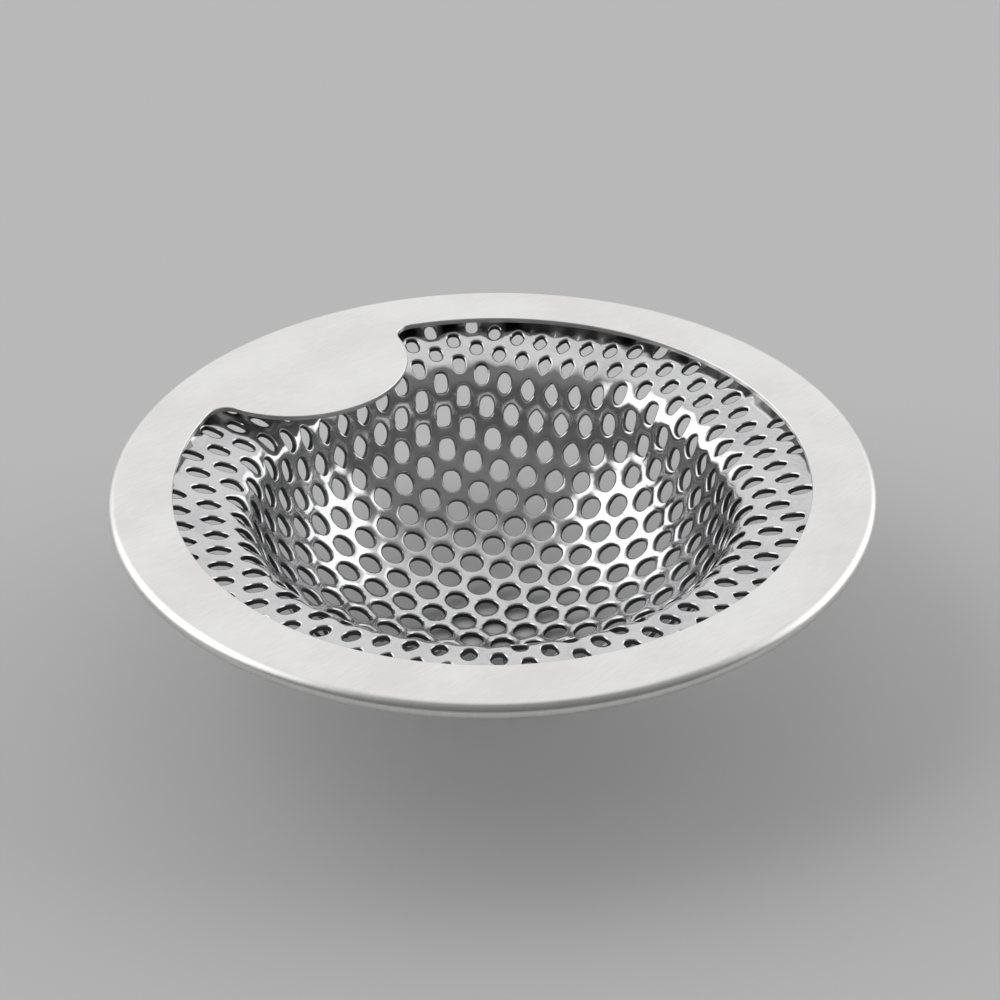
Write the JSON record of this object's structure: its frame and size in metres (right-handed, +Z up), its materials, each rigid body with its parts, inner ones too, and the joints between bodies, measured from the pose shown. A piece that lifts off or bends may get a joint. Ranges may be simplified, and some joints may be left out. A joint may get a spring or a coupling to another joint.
{
  "type": "sink basket strainer",
  "caption": "Round drop-in sink strainer: a perforated, deep-drawn metal bowl hemmed into a flat rim ring with a rounded finger tab.",
  "frame": {"origin": "on the bowl's axis at the level of the lowest point of the bowl, which is the centre of the bottom of the box round the object", "axes": "+Z up along the bowl's axis, out of its mouth; +Y towards the finger tab"},
  "size_m": [0.08, 0.08, 0.0207],
  "materials": {
    "satin_steel": "fine satin stainless steel sheet",
    "polished_steel": "mirror-polished stainless steel sheet"
  },
  "bodies": {
    "root": {"rim_ring": "satin_steel", "perforated_basket": "polished_steel"}
  },
  "joints": []
}
